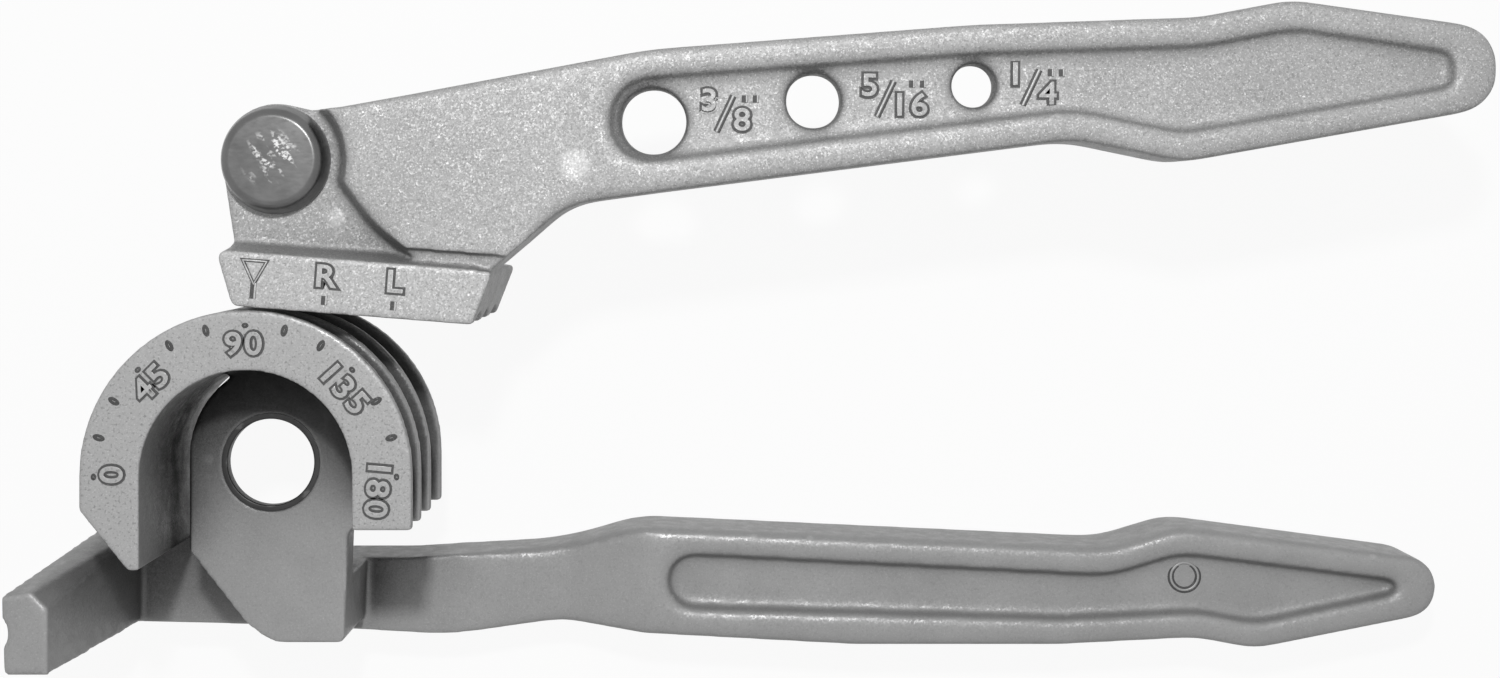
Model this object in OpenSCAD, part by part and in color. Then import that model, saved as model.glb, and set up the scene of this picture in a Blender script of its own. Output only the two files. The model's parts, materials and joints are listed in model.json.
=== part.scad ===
// Lever tube bender for three tube sizes, lying on its back with the shoe on the mandrel.
// The origin is on the mandrel's axis, at the front face of the web; +Z points out of the marked face.

/* [Mandrel] */
// Outer radius of the four flanges
flange_r = 24.1; // [22:0.1:28]
// Thickness of one flange
flange_t = 1.6; // [1.2:0.1:2.2]
// Diameter of the small tube, in the front groove
tube_small = 6.35; // [5.5:0.05:6.6]
// Diameter of the middle tube
tube_middle = 7.94; // [7:0.05:8.2]
// Diameter of the large tube, in the back groove
tube_large = 9.53; // [8.5:0.05:9.8]
// Spare width of a groove over its tube
groove_slack = 0.3; // [0.2:0.05:0.5]
// How far a tube stands out of the flanges
tube_proud = 2; // [1.6:0.1:2.6]
// Wall between the large groove and the inside of the arch
arch_wall = 1.02; // [0.9:0.02:1.5]
// Length of the straight right leg below the axis
right_leg = 7.8; // [5:0.1:10]
// Length of the straight edge of the left limb below the axis
left_leg = 4.8; // [3:0.1:7]
// Length of the left limb below the axis, down to its tip
left_tip = 13.6; // [11:0.1:15]
// Width of the left limb's tip
left_tip_w = 1.6; // [1:0.1:3]

/* [Web] */
// Depth of the web's front face below the scale
web_drop = 16.3; // [12:0.1:18]
// Thickness of the web at the centre hole
web_t = 5.4; // [4:0.1:6.5]
// Left edge of the web, from the axis
web_left = 12.5; // [12:0.1:12.8]
// Right edge of the web, from the axis
web_right = 12; // [11:0.1:14]
// Lower corner of the web's left edge, below the axis
web_corner = 13.4; // [12:0.1:15]
// Lower edge of the web, below the axis
web_bottom = 27.6; // [25:0.1:28.5]
// Left end of the lower edge, from the axis
web_toe = -0.7; // [-2:0.1:3]
// Size of the slant beside the lower edge
web_slant = 3; // [2:0.1:4]
// How far the right edge draws in towards the lower edge
web_draft = 0.8; // [0.4:0.1:1.5]
// Centre of the round upper side, to the right of the axis
web_shift = 2.4; // [2.2:0.1:2.6]
// Centre of the round upper side, over the axis
web_lift = 0.8; // [0.6:0.1:1]
// Height over the axis from which the web fills the arch
web_crown = 13.5; // [13:0.1:14]

/* [Bar and hook] */
// Thickness of the bar
bar_t = 12; // [10:0.1:14]
// Upper edge of the bar, below the axis
bar_top = 17.7; // [16.5:0.1:18.5]
// Height of the bar
bar_h = 11.4; // [10:0.1:12.5]
// Upper edge of the bar's left end, below the axis
bar_left_top = 13.1; // [12.5:0.1:15]
// Deepest sag of the bar's lower edge
bar_sag = 1.1; // [0:0.1:2]
// How far the bar's lower edge rises towards its two ends
bar_draft = 1.2; // [0.8:0.1:2]
// How far the bar's upper edge rises towards the grip
bar_rise = 1.7; // [1:0.1:2.5]
// Left end of the bar, from the axis
hook_reach = 31.6; // [30:0.1:34]
// Width of the hook
hook_w = 6.7; // [5:0.1:8]
// How far the hook leans out at its front
hook_lean = 3.9; // [2:0.1:5]
// Upper edge of the hook's front end, below the axis
hook_top = 16.8; // [16.5:0.1:19]
// Height of the hook's front end
hook_h = 12; // [9:0.1:13]
// Size of the slanted corner at the hook's front end
hook_corner = 2.5; // [1.5:0.1:3]
// Size of the small slants on the front end's outer side
hook_lip = 0.7; // [0.4:0.1:1]
// How far the hook's front end stays behind the level of the scale
hook_gap = 0.5; // [0.2:0.1:1]
// Radius of the notch along the hook's outer side
notch_r = 3.2; // [2:0.1:4]
// Depth of the notch
notch_drop = 0.8; // [0.4:0.1:1.2]

/* [Lower grip] */
// Thickness of the lower grip
grip_t = 15; // [13:0.1:17]
// Start of the lower grip, from the axis
grip_start = 56; // [54:0.5:62]
// Length of the lower grip
grip_len = 127.6; // [120:0.2:135]
// Centre line of the lower grip, below the axis
grip_axis = 22.5; // [21:0.1:24]
// Start of the waist, from the grip's start
grip_waist_at = 75; // [68:0.5:76]
// Peak of the upper flare, from the grip's start
grip_flare_at = 86.5; // [83:0.5:88]
// Peak of the lower flare, behind the upper one
grip_flare_skew = 12; // [11:0.5:15]
// Length of the lower flare's rise
grip_low_rise = 9.5; // [7:0.5:12]
// Lowest edge of the grip, below its centre line
grip_belly = 8.9; // [8:0.1:10]
// Length of the slope from the bar up to the grip
slope_len = 13; // [8:0.5:16]

/* [Shoe] */
// Distance from the pivot's axis to the shoe's face
shoe_drop = 21.6; // [21:0.1:23]
// Gap between the shoe and the flanges
shoe_gap = 0.4; // [0.3:0.05:0.6]
// Height of the shoe
shoe_h = 7.9; // [7:0.1:9]
// Left end of the shoe's face, from the pivot
shoe_left = 3.8; // [3:0.1:3.9]
// Right end of the shoe's face, from the pivot
shoe_right = 31; // [28:0.1:34]
// Slope of the shoe's right end
shoe_flare = 2.4; // [1:0.1:3]
// Slope of the shoe's left end
shoe_left_flare = 3; // [1:0.1:4]
// Height of the shoe's front face over the scale
shoe_front = 0.4; // [0:0.1:1]
// Run of the slope from the ear up to the shoe's front face
ledge_w = 1.3; // [0.8:0.1:1.6]
// Width of the valley between the shoe and the arm's face
valley_w = 2.4; // [2:0.1:3]
// Depth of the valley
valley_drop = 1.2; // [0.8:0.1:2]
// Gap between the shoe's back and the level of the lower grip
shoe_back_gap = 0.5; // [0.4:0.1:1]
// Angle of the link past the 90 degree mark
rest_tilt = 4.5; // [0:0.5:8]

/* [Arm] */
// Thickness of the arm
arm_t = 15; // [13:0.1:17]
// Depth of the ear below the arm's face
ear_drop = 4.2; // [3.8:0.1:5]
// Radius of the ear's round end
ear_r = 8.2; // [8.1:0.1:9]
// Gap between the bolt's head and the foot of the round recess
head_gap = 1.3; // [0.8:0.1:1.6]
// Run of the recess's sloped wall up to the arm's face
recess_run = 1.8; // [1:0.1:2.2]
// Angle of the arm to the shoe
arm_angle = 7.5; // [6:0.5:9]
// Width of the throat between the shoe's right end and the arm
throat_w = 11.5; // [10:0.5:13]
// Height of the throat over the shoe
throat_h = 4.8; // [4:0.1:6]
// Centre line of the upper grip, beside the pivot
arm_axis = 4.2; // [3.5:0.1:5]
// Length of the arm from the pivot to its tip
arm_len = 178.2; // [170:0.2:186]
// Place of the waist, from the pivot
arm_waist_at = 116.5; // [110:0.5:118]
// Peak of the lower flare, from the pivot
arm_flare_at = 132; // [128:0.5:135]
// Peak of the upper flare, behind the lower one
arm_flare_skew = 17; // [15:0.5:20]
// Length of the upper flare's rise
arm_top_rise = 13.5; // [10:0.5:14]
// Upper edge of the arm at its middle, over its centre line
arm_crown = 10; // [9.5:0.1:10.5]

/* [Grip panels] */
// Width of the rim round a panel
rim_w = 4.3; // [3.5:0.1:5]
// Depth of a panel
panel_drop = 2.2; // [1.5:0.1:3]
// Start of the arm's panel before the large gauge hole
panel_start = 6.2; // [5.6:0.1:7]
// Depth of the hollow in the arm's back
arm_hollow = 5.8; // [3:0.1:7]

/* [Gauge holes] */
// Spare diameter of a gauge hole over its tube
gauge_slack = 0.2; // [0.1:0.05:0.4]
// Place of the large gauge hole along the arm
gauge_large_at = 55.5; // [54:0.1:58]
// Step from one gauge hole to the next
gauge_step = 23.5; // [21:0.1:24]

/* [Centre trunnion] */
// Bore through the trunnion
trunnion_bore = 13.2; // [11:0.1:13.4]
// Wall of the trunnion's nose, at the front of the web
nose_wall = 0.6; // [0.5:0.1:0.9]
// Length of the nose
nose_len = 1.6; // [1.4:0.1:2]
// Radius of the trunnion's neck, in the web behind the nose
neck_r = 8.3; // [8.2:0.1:9]
// Length of the straight bore
trunnion_straight = 2; // [2:0.1:3]
// Height and width of the flared front lip
lip = 0.3; // [0.2:0.1:0.5]
// Radius of the trunnion's body in the link
trunnion_body_r = 10.4; // [10:0.1:10.8]
// Wall of the trunnion at its back end
trunnion_back_wall = 1.3; // [1:0.1:1.6]

/* [Link and pivot] */
// Thickness of the link
link_t = 6; // [4:0.1:6.2]
// Width of the link
link_w = 13; // [10:0.1:15]
// Thickness of the link's eye behind the web
link_eye_t = 4.5; // [3.5:0.1:5]
// Gap between the link's eye and the inside of the arch
eye_gap = 2; // [1.8:0.1:2.8]
// Gap between the link's step and the inside of the arch
leg_gap = 1.5; // [1.5:0.1:1.8]
// Radius of the link's end at the pivot
link_end_r = 8; // [7:0.1:9]
// Thickness of the link's step towards the web
link_leg_t = 3.4; // [2.8:0.1:3.4]
// Radius of the pivot bolt's shank
shank_r = 5; // [4.6:0.1:5.5]
// Radius of the pivot bolt's head
head_r = 8; // [7:0.1:8]
// Height of the pivot bolt's head
head_h = 4; // [3:0.1:4.2]
// Radius of the flat on the head
head_flat_r = 6.4; // [5:0.1:6.6]
// Radius of the pivot bolt's thread
thread_r = 4; // [3.5:0.1:4.2]
// Radius of the washer
washer_r = 8; // [7:0.1:9]
// Thickness of the washer
washer_t = 1.6; // [1:0.1:2]
// Width of the nut across its flats
nut_flats = 13; // [12:0.1:14]

/* [Clearances] */
// Radial clearance of a turning fit
run_fit = 0.05; // [0.03:0.01:0.08]
// Radial clearance of a seated piece
seat_fit = 0.03; // [0.02:0.01:0.05]
// Side clearance of a turning piece
side_gap = 0.3; // [0.2:0.05:0.5]

/* [Hidden] */
$fn = 64;
cut = 1;

// Levels along the axis
tubes = [tube_small, tube_middle, tube_large];
groove_w = [for (t = tubes) t + groove_slack];
mandrel_depth = 4 * flange_t + groove_w[0] + groove_w[1] + groove_w[2];
mandrel_front = web_drop;
mandrel_back = mandrel_front - mandrel_depth;
groove_mid = [mandrel_front - flange_t - groove_w[0] / 2,
              mandrel_front - 2 * flange_t - groove_w[0] - groove_w[1] / 2,
              mandrel_front - 3 * flange_t - groove_w[0] - groove_w[1] - groove_w[2] / 2];
grip_front = mandrel_back;
floor_z = grip_front - grip_t;
bar_front = floor_z + bar_t;
shoe_z0 = grip_front + shoe_back_gap;
shoe_z1 = mandrel_front + shoe_front;
arm_front = mandrel_front;
ear_front = arm_front - ear_drop;
hub_back = mandrel_back;
hook_front = mandrel_front - hook_gap;
link_front = mandrel_back - side_gap;
link_back = link_front - link_t;
eye_front = -web_t - side_gap;
eye_back = eye_front - link_eye_t;
washer_back = link_back - washer_t;
nut_h = washer_back - floor_z;

// Places of the gauge holes over the arm's centre line, from the large hole to the small one
gauge_over = [-1.6, 0.2, 1.2];

// Radii of the tubes' centre lines on the mandrel
tube_line = [for (t = tubes) flange_r + tube_proud - t / 2];
arch_in_r = tube_line[2] - groove_w[2] / 2 - arch_wall;
link_len = flange_r + shoe_gap + shoe_drop;
nose_r = trunnion_bore / 2 + nose_wall;
link_eye_r = arch_in_r - eye_gap;
leg_out = arch_in_r - leg_gap;
leg_in = leg_out - link_leg_t;

// Heights of the two grips over and under their centre lines at root, waist, flare and tip
grip_top = [10.1, 6.6, 10.1, 4.7];
grip_low = [7.1, 7.8, 9.6, 3.8];
arm_top = [8.9, 9.4, 11.2, 5.5];
arm_low = [12, 7.5, 11.6, 5.9];
low_flare_x = grip_start + grip_flare_at + grip_flare_skew;
tip_x = grip_start + grip_len;
top_flare_x = arm_flare_at + arm_flare_skew;

// Roundings of the outlines, from the sharp ends to the long sweeps
corner_round = 1;
shoe_toe_r = 1.4;
tip_round = 6;
panel_round = 6;
flare_round = 12;
waist_round = 20;
neck_round = 20;
side_round = 60;
round_share = 0.48;

// How a panel narrows towards a grip's tip, as shares of the rim, and its half width and rounding there
tip_setback = 1.5;
tip_taper = 0.75;
tip_half = 0.6;
tip_panel_round = 1.5;

// Start and end of the lower grip's belly, as shares of the way to its waist
belly_from = 0.45;
belly_to = 0.9;

// Corners of the ear and of the foot of the recess over it, as shares of the ear's radius
ear_left = [-0.96, -0.2];
ear_top = [[1.7, -0.5], [1, 0.7], [0, 0.98]];
recess_edge = [[0.4, 1.6], [0.9, 0.3], [1.09, -0.33], [1.75, -1.08], [2.6, -1.67]];
recess_side = 2.4;

// Point towards which the recess's slanted side leans, as shares of the ear's radius
recess_aim = [4.2, 1.2];

// Share of the slanted side's distance from that point that is left at the top
recess_lean = 0.92;

// How far the arm's upper edge starts under the ear's top
arm_step = 1.2;

// Shares of the bolt head's height at which its edge turns down and meets its skirt, and its edge's width
head_turn = 0.2;
head_skirt = 0.8;
head_edge = 0.7;

// How far the bolt's thread ends inside the nut
thread_gap = 0.6;

function unit(v) = v / norm(v);

// Points of the arc that rounds one corner of an outline
function corner_arc(a, p, b, r, steps = 5) =
    let (u = unit(a - p), v = unit(b - p), half = acos(u * v) / 2)
    let (reach = min(r / tan(half), round_share * min(norm(a - p), norm(b - p))))
    let (arc_r = reach * tan(half), mid = p + unit(u + v) * arc_r / sin(half))
    let (s = p + u * reach - mid, e = p + v * reach - mid)
    let (start = atan2(s.y, s.x), turn = (atan2(e.y, e.x) - start + 540) % 360 - 180)
    [for (i = [0:steps]) mid + arc_r * [cos(start + turn * i / steps), sin(start + turn * i / steps)]];

// Outline with each corner [x, y, r] rounded by its own radius
function rounded(pts) =
    let (n = len(pts), xy = [for (p = pts) [p.x, p.y]])
    [for (i = [0:n - 1]) each pts[i].z > 0
        ? corner_arc(xy[(i + n - 1) % n], xy[i], xy[(i + 1) % n], pts[i].z) : [xy[i]]];

// Half of a grip from its waist to its tip; side is 1 above the centre line and -1 below it
function grip_side(axis, side, h, waist_x, flare_x, tip_x, inset) =
    [[waist_x, axis + side * (h[1] - inset), waist_round],
     [flare_x, axis + side * (h[2] - inset), flare_round],
     [tip_x - tip_setback * inset, axis + side * max(h[3] - tip_taper * inset, tip_half),
      inset > 0 ? tip_panel_round : tip_round]];

function reversed(list) = [for (i = [len(list) - 1:-1:0]) list[i]];

// Outline of the bar and the lower grip
function lower_outline() = concat(
    [[-hook_reach, -bar_left_top, 2 * corner_round],
     [-web_left - hook_w, -bar_left_top, panel_round],
     [-web_left + hook_w, -bar_top, panel_round],
     [web_right + hook_w, -bar_top, side_round],
     [grip_start - slope_len, -bar_top + bar_rise, side_round],
     [grip_start - cut, -grip_axis + grip_top[0], neck_round]],
    lower_grip(0),
    [[grip_start + belly_to * grip_waist_at, -grip_axis - grip_belly, side_round],
     [grip_start + belly_from * grip_waist_at, -grip_axis - grip_belly, side_round],
     [grip_start, -grip_axis - grip_low[0], waist_round],
     [grip_start - slope_len, -bar_top - bar_h + bar_draft, neck_round],
     [web_right + slope_len, -bar_top - bar_h - bar_sag, side_round],
     [web_toe, -bar_top - bar_h + bar_draft / 3, neck_round],
     [-hook_reach, -bar_top - bar_h + bar_draft, 2 * corner_round]]);

function lower_grip(inset) = concat(
    grip_side(-grip_axis, 1, grip_top, grip_start + grip_waist_at, grip_start + grip_flare_at, tip_x, inset),
    reversed(grip_side(-grip_axis, -1, grip_low, low_flare_x - grip_low_rise, low_flare_x, tip_x, inset)));

function lower_panel() = concat(
    [[grip_start + rim_w, -grip_axis - grip_low[0] + rim_w, panel_round],
     [grip_start + rim_w, -grip_axis + grip_top[0] - rim_w, panel_round]],
    lower_grip(rim_w),
    [[grip_start + belly_to * grip_waist_at, -grip_axis - grip_belly + rim_w, side_round]]);

// Outline of the arm and the upper grip, along the arm
function upper_grip(inset) = concat(
    grip_side(arm_axis, 1, arm_top, top_flare_x - arm_top_rise, top_flare_x, arm_len, inset),
    reversed(grip_side(arm_axis, -1, arm_low, arm_waist_at, arm_flare_at, arm_len, inset)));

function arm_outline() = concat(
    [[shank_r, ear_r - arm_step, 0],
     [2 * shank_r, ear_r - arm_step, panel_round],
     [gauge_large_at, arm_axis + arm_top[0], side_round],
     [gauge_large_at + 2 * gauge_step, arm_axis + arm_crown, side_round]],
    upper_grip(0),
    [[gauge_large_at, arm_axis - arm_low[0], neck_round],
     [shoe_right + throat_w, -shoe_drop + shoe_h + throat_h, flare_round],
     [shoe_right, -shoe_drop + shoe_h / 2, 0],
     [shank_r, -shoe_drop + shoe_h - corner_round, 0]]);

function arm_panel() = concat(
    [[gauge_large_at - panel_start, arm_axis - arm_low[0] + rim_w, panel_round],
     [gauge_large_at - panel_start, arm_axis + arm_top[0] - rim_w, panel_round],
     [gauge_large_at + 2 * gauge_step, arm_axis + arm_crown - rim_w, side_round]],
    upper_grip(rim_w));

// Half-round front outline of the arch, with its straight leg and its slanted limb
module arch_outline(r_out, r_in) {
    difference() {
        union() {
            circle(r_out);
            polygon([[-r_out, 0], [-r_out, -left_leg], [-r_in - left_tip_w, -left_tip],
                     [-r_in + cut, -left_tip], [-r_in + cut, 0]]);
            translate([0, -right_leg]) square([r_out, right_leg]);
        }
        circle(r_in);
        translate([-r_in, -flange_r - cut]) square([2 * r_in, flange_r + cut]);
        lower_cut(r_out, r_in);
    }
}

// What the full circle leaves below the leg and the limb
module lower_cut(r_out, r_in) {
    translate([0, -right_leg - r_out]) square([r_out + cut, r_out]);
    polygon([[-r_out - cut, -left_leg], [-r_out, -left_leg], [-r_in - left_tip_w, -left_tip],
             [cut, -left_tip], [cut, -r_out - cut], [-r_out - cut, -r_out - cut]]);
}

// Round groove for one tube, round the arch and down both legs
module tube_groove(i) {
    section_r = groove_w[i] / 2;
    translate([0, 0, groove_mid[i]]) {
        intersection() {
            rotate_extrude() groove_section(i, section_r);
            translate([-2 * flange_r, 0, -flange_r]) cube([4 * flange_r, 2 * flange_r, 2 * flange_r]);
        }
        for (side = [0, 1])
            mirror([side, 0, 0])
                rotate([90, 0, 0])
                    linear_extrude(flange_r)
                        groove_section(i, section_r);
    }
}

// Section of a groove: round floor, straight cheeks out past the flange
module groove_section(i, section_r) {
    translate([tube_line[i], 0]) circle(section_r);
    translate([tube_line[i], -section_r]) square([flange_r, 2 * section_r]);
}

// Front outline of the web, with its rounded upper left side
module web_outline() {
    difference() {
        union() {
            intersection() {
                translate([web_shift, web_lift]) circle(web_left + web_shift);
                circle(arch_in_r + cut);
            }
            polygon(rounded([[-web_left, cut, 0], [-web_left, -web_corner, corner_round],
                             [web_toe - web_slant, -web_bottom + web_slant, tip_round],
                             [web_toe + cut, -web_bottom, tip_round],
                             [web_right - web_draft, -web_bottom, corner_round], [web_right, -right_leg, 0],
                             [web_right, cut, 0]]));
            translate([0, -right_leg + cut]) square([arch_in_r + cut, right_leg]);
            difference() {
                circle(arch_in_r + cut);
                translate([-2 * flange_r, -4 * flange_r + web_crown]) square(4 * flange_r);
            }
        }
        translate([-flange_r, -right_leg]) square([flange_r - arch_in_r, 3 * flange_r]);
    }
}

// Side view of the handle: thin bar, slope, thick grip
module handle_side() {
    rotate([90, 0, 0])
        linear_extrude(4 * flange_r)
            polygon([[-2 * flange_r, floor_z], [-2 * flange_r, bar_front],
                     [grip_start + cut - slope_len, bar_front], [grip_start + cut, grip_front],
                     [tip_x + cut, grip_front], [tip_x + cut, floor_z]]);
}

// Bar and grip in one
module bar_and_grip() {
    intersection() {
        translate([0, 0, floor_z]) linear_extrude(grip_t) polygon(rounded(lower_outline()));
        handle_side();
    }
}

// Tube hook that leans out from the bar to the mandrel's front, with a notch along its outer side
module tube_hook() {
    bar_low = -bar_top - bar_h + bar_draft;
    difference() {
        hull() {
            translate([-hook_reach, bar_low, bar_front - cut])
                cube([hook_w, -bar_left_top - bar_low, cut]);
            translate([-hook_reach - hook_lean, -hook_top - hook_h, hook_front - cut])
                linear_extrude(cut)
                    polygon([[hook_lip, 0], [hook_w, 0], [hook_w, hook_h - hook_corner],
                             [hook_w - hook_corner, hook_h], [0, hook_h - hook_lip],
                             [hook_lip / 2, hook_lip]]);
        }
        hull() {
            translate([-hook_reach - notch_r + notch_drop, -hook_top - hook_h / 2, bar_front - 2 * cut])
                cylinder(r = notch_r, h = cut, $fn = 24);
            translate([-hook_reach - hook_lean - notch_r + notch_drop, -hook_top - hook_h / 2, hook_front])
                cylinder(r = notch_r, h = cut, $fn = 24);
        }
    }
}

module mandrel_handle() {
    seat_r = nose_r + run_fit;
    color("silver")
    difference() {
        union() {
            difference() {
                translate([0, 0, mandrel_back])
                    linear_extrude(mandrel_depth)
                        arch_outline(flange_r, arch_in_r);
                for (i = [0:2])
                    tube_groove(i);
            }
            translate([0, 0, -web_t]) linear_extrude(web_t) web_outline();
            translate([0, 0, floor_z])
                linear_extrude(-floor_z - cut)
                    intersection() {
                        web_outline();
                        translate([-flange_r, -2 * flange_r]) square([2 * flange_r, 2 * flange_r - bar_top]);
                    }
            bar_and_grip();
            tube_hook();
        }
        translate([0, 0, -web_t - cut]) cylinder(r = seat_r, h = web_t + 2 * cut);
        translate([0, 0, -web_t - cut]) cylinder(r = neck_r + run_fit, h = web_t + cut - nose_len + side_gap);
        translate([0, 0, -lip]) cylinder(r1 = seat_r, r2 = seat_r + lip + cut, h = lip + cut);
        translate([0, 0, grip_front - panel_drop])
            linear_extrude(panel_drop + cut)
                polygon(rounded(lower_panel()));
    }
}

// Hollow rivet: lip and nose at the web's front, neck behind them, body in the link, bore wider at the back
module centre_trunnion() {
    bore_r = trunnion_bore / 2;
    back_r = trunnion_body_r - trunnion_back_wall;
    color("dimgray")
    rotate_extrude()
        polygon([[bore_r, 0], [nose_r + lip, 0], [nose_r, -lip], [nose_r, -nose_len],
                 [neck_r, -nose_len], [neck_r, eye_front], [trunnion_body_r, eye_front],
                 [trunnion_body_r, eye_back], [back_r, eye_back], [bore_r, -trunnion_straight]]);
}

// Places a piece of the link or the shoe handle at the pivot, as the tool rests
module at_link() { rotate([0, 0, -rest_tilt]) children(); }
module at_pivot() { at_link() translate([0, link_len, 0]) children(); }

module link_arm() {
    color("gray")
    at_link()
    difference() {
        union() {
            translate([0, 0, eye_back]) cylinder(r = link_eye_r, h = link_eye_t);
            intersection() {
                translate([-link_w / 2, leg_in, link_back]) cube([link_w, link_leg_t, eye_front - link_back]);
                translate([0, 0, link_back]) cylinder(r = leg_out, h = eye_front - link_back);
            }
            translate([-link_w / 2, leg_in, link_back]) cube([link_w, link_len - leg_in, link_t]);
            translate([0, link_len, link_back]) cylinder(r = link_end_r, h = link_t);
        }
        translate([0, 0, eye_back - cut]) cylinder(r = trunnion_body_r + seat_fit, h = link_eye_t + 2 * cut);
        translate([0, link_len, link_back - cut]) cylinder(r = shank_r + seat_fit, h = link_t + 2 * cut);
    }
}

// Button head, plain shank through the ear and the link, threaded end
module pivot_bolt() {
    thread_end = floor_z + thread_gap;
    color("darkgray")
    at_pivot()
    rotate_extrude()
        polygon([[0, ear_front + head_h], [head_flat_r, ear_front + head_h],
                 [head_r - head_edge, ear_front + head_h * (1 - head_turn)],
                 [head_r, ear_front + head_h * (1 - head_skirt)],
                 [head_r, ear_front], [shank_r, ear_front], [shank_r, link_back],
                 [thread_r, link_back], [thread_r, thread_end], [0, thread_end]]);
}

module pivot_washer() {
    color("silver")
    at_pivot()
    translate([0, 0, washer_back])
    difference() {
        cylinder(r = washer_r, h = washer_t);
        translate([0, 0, -cut]) cylinder(r = thread_r + seat_fit, h = washer_t + 2 * cut);
    }
}

module pivot_nut() {
    color("silver")
    at_pivot()
    translate([0, 0, floor_z])
    difference() {
        cylinder(r = nut_flats / 2 / cos(30), h = nut_h, $fn = 6);
        translate([0, 0, -cut]) cylinder(r = thread_r + seat_fit, h = nut_h + 2 * cut);
    }
}

// Straight shoe with its shallow grooves, which face the mandrel
module shoe() {
    difference() {
        translate([0, 0, shoe_z0])
            linear_extrude(shoe_z1 - shoe_z0)
                polygon(rounded([[-shoe_left - shoe_left_flare, -shoe_drop + shoe_h, corner_round],
                                 [-shoe_left, -shoe_drop, shoe_toe_r],
                                 [shoe_right, -shoe_drop, corner_round / 2],
                                 [shoe_right + shoe_flare, -shoe_drop + shoe_h, corner_round / 2]]));
        for (i = [0:2])
            translate([-flange_r, -shoe_drop - shoe_gap - flange_r + tube_line[i], groove_mid[i]])
                rotate([0, 90, 0])
                    cylinder(d = groove_w[i], h = 3 * flange_r);
    }
}

// Ear with the pivot's hub, which reaches back to the link
module ear() {
    shoe_top = -shoe_drop + shoe_h;
    translate([0, 0, hub_back]) cylinder(r = ear_r, h = ear_front - hub_back);
    translate([0, 0, shoe_z0])
        linear_extrude(ear_front - shoe_z0)
            polygon([ear_left * ear_r, [-shoe_left - corner_round, shoe_top - cut],
                     [shoe_right - shoe_flare, shoe_top - cut], each ear_top * ear_r]);
}

// Hollow under the arm's face that leaves the ear and the bolt's head clear
module ear_recess() {
    deep = arm_front + shoe_front + cut - ear_front;
    foot_r = head_r + head_gap;
    edge = recess_edge * ear_r;
    side = recess_side * ear_r;
    aim = recess_aim * ear_r;
    translate([0, 0, ear_front]) {
        cylinder(r1 = foot_r, r2 = foot_r + recess_run * deep / ear_drop, h = deep);
        translate(aim)
            linear_extrude(deep, scale = recess_lean)
                translate(-aim)
                    polygon(rounded([[-side, side, 0], [each edge[0], 0], [each edge[1], 0],
                                     [each edge[2], tip_round], [each edge[3], waist_round],
                                     [each edge[4], 0], [edge[4].x, -side, 0], [-side, -side, 0]]));
    }
    translate([edge[3].x, -shoe_drop + shoe_h, arm_front - valley_drop])
        cube([shoe_right + throat_w, valley_w, valley_drop + cut]);
}

// Slope along the shoe's upper edge, from the ear's face to the shoe's front face
module shoe_ledge() {
    top = -shoe_drop + shoe_h;
    translate([-shoe_left - shoe_left_flare / 2, 0, 0])
        rotate([90, 0, 90])
            linear_extrude(shoe_left + shoe_left_flare / 2 + shoe_right)
                polygon([[top - cut, ear_front - cut], [top + ledge_w, ear_front - cut],
                         [top + ledge_w, ear_front], [top, shoe_z1]]);
}

module shoe_handle() {
    color("lightgray")
    at_pivot()
    difference() {
        union() {
            difference() {
                rotate([0, 0, arm_angle]) arm_body();
                ear_recess();
            }
            ear();
            shoe();
            shoe_ledge();
        }
        translate([0, 0, hub_back - cut]) cylinder(r = shank_r + run_fit, h = ear_front - hub_back + 2 * cut);
    }
}

// Arm and upper grip, with the panel and the gauge holes
module arm_body() {
    difference() {
        translate([0, 0, arm_front - arm_t])
            linear_extrude(arm_t)
                polygon(rounded(arm_outline()));
        translate([0, 0, arm_front - panel_drop])
            linear_extrude(panel_drop + cut)
                polygon(rounded(arm_panel()));
        translate([0, 0, arm_front - arm_t - cut])
            linear_extrude(arm_hollow + cut)
                polygon(rounded(arm_panel()));
        for (i = [0:2])
            translate([gauge_large_at + i * gauge_step, arm_axis + gauge_over[i], arm_front - arm_t - cut])
                cylinder(d = tubes[2 - i] + gauge_slack, h = arm_t + 2 * cut);
    }
}

mandrel_handle();
centre_trunnion();
link_arm();
pivot_bolt();
pivot_washer();
pivot_nut();
shoe_handle();
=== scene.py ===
"""Looks of the lever tube bender: softened castings, raised marks, worn steel, plain studio."""
import json
import logging
import math
from dataclasses import dataclass, field, replace
from enum import Enum

import bmesh
import bpy
from mathutils import Matrix, Vector


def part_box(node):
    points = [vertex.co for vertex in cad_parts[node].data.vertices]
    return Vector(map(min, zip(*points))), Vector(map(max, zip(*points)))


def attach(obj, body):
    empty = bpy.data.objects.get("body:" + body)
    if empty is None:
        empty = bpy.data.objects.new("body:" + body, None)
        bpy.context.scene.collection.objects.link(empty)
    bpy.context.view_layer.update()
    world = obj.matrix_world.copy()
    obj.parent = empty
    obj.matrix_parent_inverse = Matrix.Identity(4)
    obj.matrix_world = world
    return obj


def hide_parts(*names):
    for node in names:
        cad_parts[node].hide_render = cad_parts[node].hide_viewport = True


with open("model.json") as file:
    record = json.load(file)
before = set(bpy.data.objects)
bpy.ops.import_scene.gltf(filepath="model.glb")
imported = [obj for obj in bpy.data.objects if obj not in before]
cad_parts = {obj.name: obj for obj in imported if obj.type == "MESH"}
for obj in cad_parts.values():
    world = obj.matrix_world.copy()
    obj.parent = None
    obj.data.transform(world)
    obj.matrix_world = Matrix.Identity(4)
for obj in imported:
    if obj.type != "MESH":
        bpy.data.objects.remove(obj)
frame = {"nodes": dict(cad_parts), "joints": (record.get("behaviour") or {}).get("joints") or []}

LOG = logging.getLogger("tube_bender")
MM = 0.001
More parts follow.
